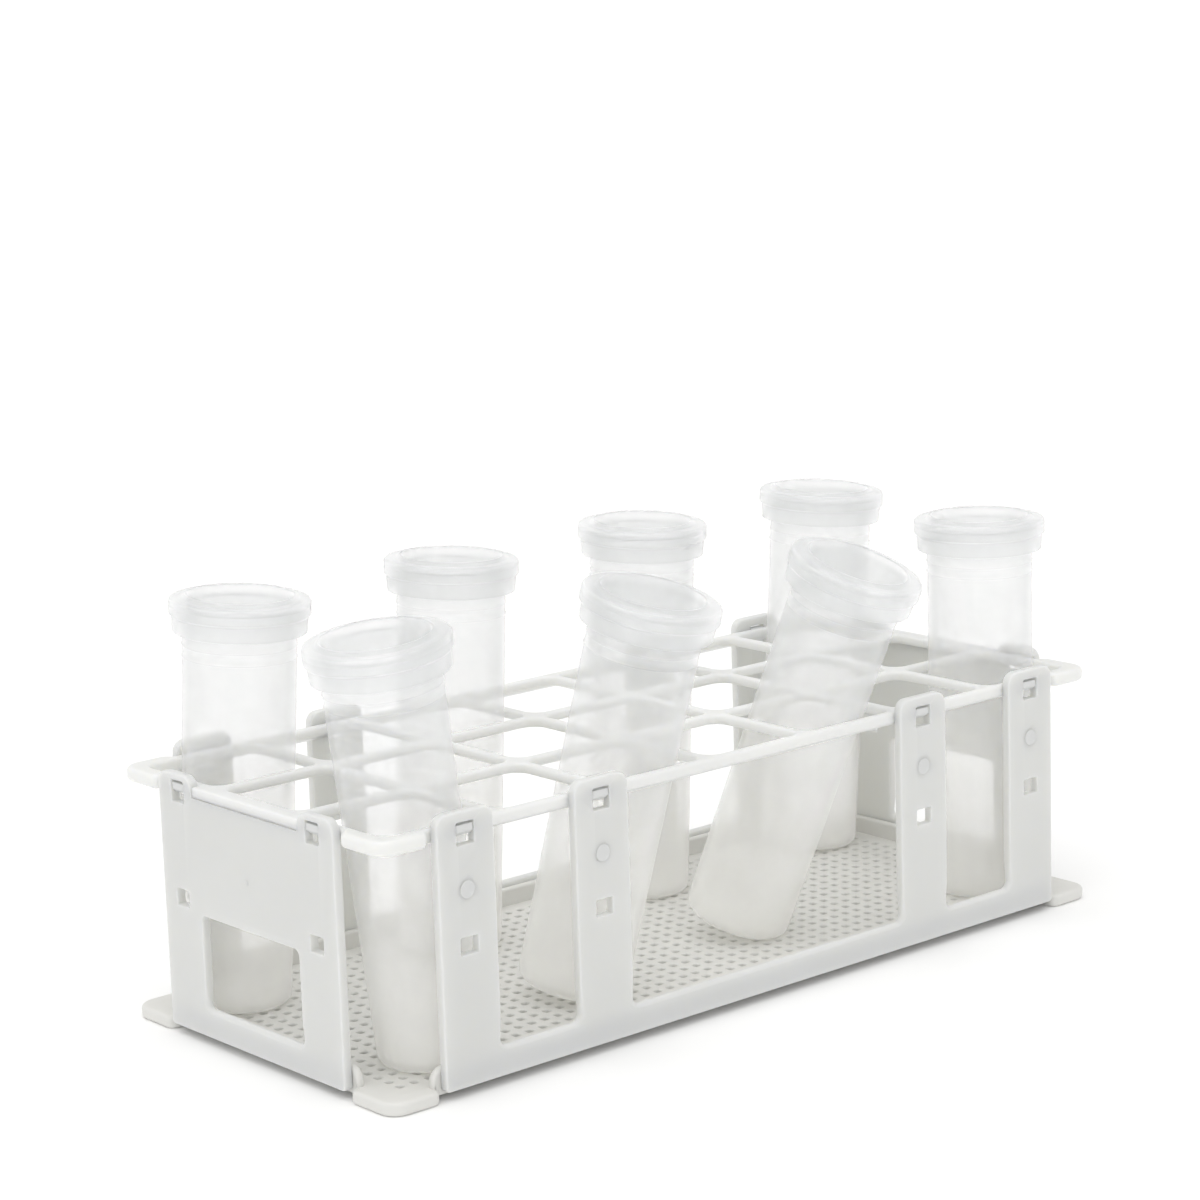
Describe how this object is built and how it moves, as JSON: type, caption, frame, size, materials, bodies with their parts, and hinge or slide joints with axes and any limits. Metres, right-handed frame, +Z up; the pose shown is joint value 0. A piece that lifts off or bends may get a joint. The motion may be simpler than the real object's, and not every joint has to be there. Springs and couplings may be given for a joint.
{
  "type": "test tube rack",
  "caption": "Snap-together rectangular test tube rack with a grid of square places, a perforated tray on corner feet, and flat-bottomed collared tubes that lift out.",
  "frame": {"origin": "under the middle of the rack, in the plane its four feet stand on", "axes": "+X along the rack's long side, +Y across it towards the back side panel, +Z up"},
  "size_m": [0.2661, 0.1291, 0.1215],
  "materials": {
    "rack_plastic": "satin moulded polypropylene, faintly translucent",
    "tube_plastic": "frosted translucent polypropylene"
  },
  "bodies": {
    "rack": {"top_grid": "rack_plastic", "base_tray": "rack_plastic", "end_panel_left": "rack_plastic", "end_panel_right": "rack_plastic", "side_panel_front": "rack_plastic", "side_panel_back": "rack_plastic"},
    "tube_1_body": {"tube_1": "tube_plastic"},
    "tube_2_body": {"tube_2": "tube_plastic"},
    "tube_3_body": {"tube_3": "tube_plastic"},
    "tube_4_body": {"tube_4": "tube_plastic"},
    "tube_5_body": {"tube_5": "tube_plastic"},
    "tube_6_body": {"tube_6": "tube_plastic"},
    "tube_7_body": {"tube_7": "tube_plastic"},
    "tube_8_body": {"tube_8": "tube_plastic"}
  },
  "joints": [
    {"name": "tube_1_lift", "type": "slide", "parent": "rack", "child": "tube_1_body", "axis": [0.0444, -0.0444, 0.998], "range_m": [0, 0.12]},
    {"name": "tube_2_lift", "type": "slide", "parent": "rack", "child": "tube_2_body", "axis": [-0.1149, 0, 0.9934], "range_m": [0, 0.12]},
    {"name": "tube_3_lift", "type": "slide", "parent": "rack", "child": "tube_3_body", "axis": [0.045, -0.0191, 0.9988], "range_m": [0, 0.12]},
    {"name": "tube_4_lift", "type": "slide", "parent": "rack", "child": "tube_4_body", "axis": [0.0216, -0.0359, 0.9991], "range_m": [0, 0.12]},
    {"name": "tube_5_lift", "type": "slide", "parent": "rack", "child": "tube_5_body", "axis": [0.1061, -0.2174, 0.9703], "range_m": [0, 0.12]},
    {"name": "tube_6_lift", "type": "slide", "parent": "rack", "child": "tube_6_body", "axis": [0.0492, -0.0332, 0.9982], "range_m": [0, 0.12]},
    {"name": "tube_7_lift", "type": "slide", "parent": "rack", "child": "tube_7_body", "axis": [0.1368, -0.3224, 0.9367], "range_m": [0, 0.12]},
    {"name": "tube_8_lift", "type": "slide", "parent": "rack", "child": "tube_8_body", "axis": [0, 0, 1], "range_m": [0, 0.12]}
  ]
}
